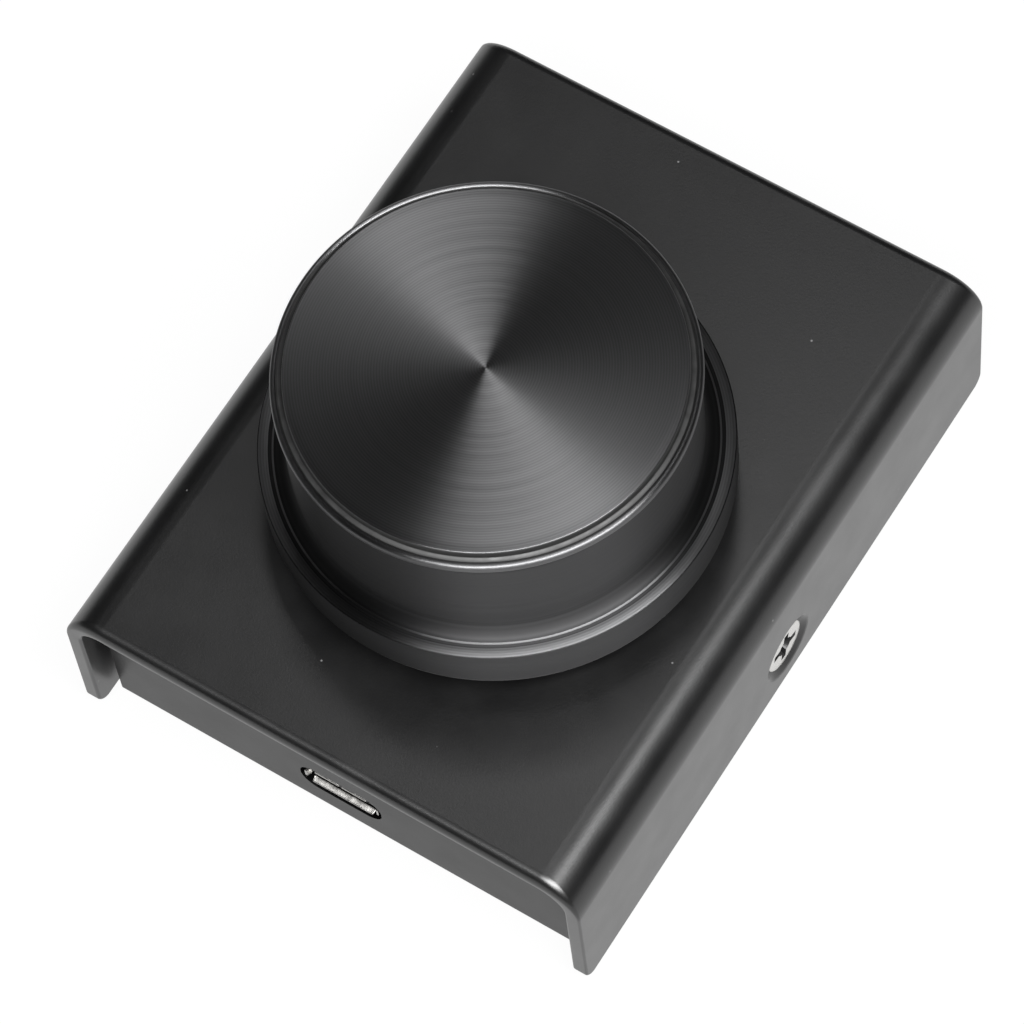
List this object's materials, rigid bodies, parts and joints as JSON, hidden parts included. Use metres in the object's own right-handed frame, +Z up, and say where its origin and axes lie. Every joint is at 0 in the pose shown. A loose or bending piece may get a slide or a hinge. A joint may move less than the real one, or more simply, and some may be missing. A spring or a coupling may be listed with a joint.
{
  "type": "desktop volume control knob",
  "caption": "Small folded steel desk box with a large push-and-turn aluminium knob on top and a small power and data socket in its front wall.",
  "frame": {"origin": "centre of the footprint, on the table under the rubber feet", "axes": "+Z up out of the knob, -Y towards the wall with the socket, +X to the right when that wall faces the viewer"},
  "size_m": [0.055, 0.0708, 0.0424],
  "materials": {
    "black_coated_steel": "satin fine-textured black powder coat on folded steel sheet",
    "black_anodised_aluminium": "turned and black anodised, fine concentric machining marks",
    "nickel_plate": "bright nickel plate on steel",
    "steel": "plain zinc-bright steel",
    "brass": "gold-plated contact alloy",
    "board_laminate": "green solder mask over glass-epoxy laminate",
    "black_plastic": "matte moulded plastic",
    "rubber": "matte soft rubber",
    "capacitor_ceramic": "fired tan ceramic"
  },
  "bodies": {
    "case": {"base_tray": "black_coated_steel", "board_screw_front_left": "nickel_plate", "board_screw_front_right": "nickel_plate", "board_screw_rear_left": "nickel_plate", "board_screw_rear_right": "nickel_plate", "bushing_nut": "nickel_plate", "bushing_spacer": "steel", "bushing_washer": "steel", "capacitor_1": "capacitor_ceramic", "capacitor_2": "capacitor_ceramic", "capacitor_3": "capacitor_ceramic", "capacitor_4": "capacitor_ceramic", "circuit_board": "board_laminate", "controller_chip": "black_plastic", "cover": "black_coated_steel", "crystal_can": "nickel_plate", "detent_spring": "brass", "encoder_bushing": "steel", "encoder_case": "black_plastic", "encoder_pin_1": "nickel_plate", "encoder_pin_2": "nickel_plate", "encoder_pin_3": "nickel_plate", "foot_front_left": "rubber", "foot_front_right": "rubber", "foot_rear_left": "rubber", "foot_rear_right": "rubber", "side_screw_left": "nickel_plate", "side_screw_right": "nickel_plate", "standoff_front_left": "steel", "standoff_front_right": "steel", "standoff_rear_left": "steel", "standoff_rear_right": "steel", "switch_disc": "steel", "switch_pin_1": "nickel_plate", "switch_pin_2": "nickel_plate", "usb_contact_1": "brass", "usb_contact_2": "brass", "usb_contact_3": "brass", "usb_contact_4": "brass", "usb_contact_5": "brass", "usb_insulator": "black_plastic", "usb_shell": "nickel_plate"},
    "rotor": {"encoder_rotor": "black_plastic"},
    "knob": {"encoder_shaft": "steel", "knob_shell": "black_anodised_aluminium", "knob_insert": "black_plastic"},
    "plunger": {"switch_plunger": "black_plastic"}
  },
  "joints": [
    {"name": "knob_turn", "type": "hinge", "parent": "case", "child": "rotor", "pos_m": [0, -0.0039, 0.0101], "axis": [0, 0, 1], "continuous": true},
    {"name": "knob_press", "type": "slide", "parent": "rotor", "child": "knob", "axis": [0, 0, -1], "range_m": [0, 0.0005], "stiffness_N_per_m": 4000, "springref_m": -0.0008},
    {"name": "plunger_press", "type": "slide", "parent": "case", "child": "plunger", "axis": [0, 0, -1], "range_m": [0, 0.0005]}
  ],
  "couplings": [
    {"joint": "plunger_press", "follows": "knob_press", "ratio": 1}
  ]
}
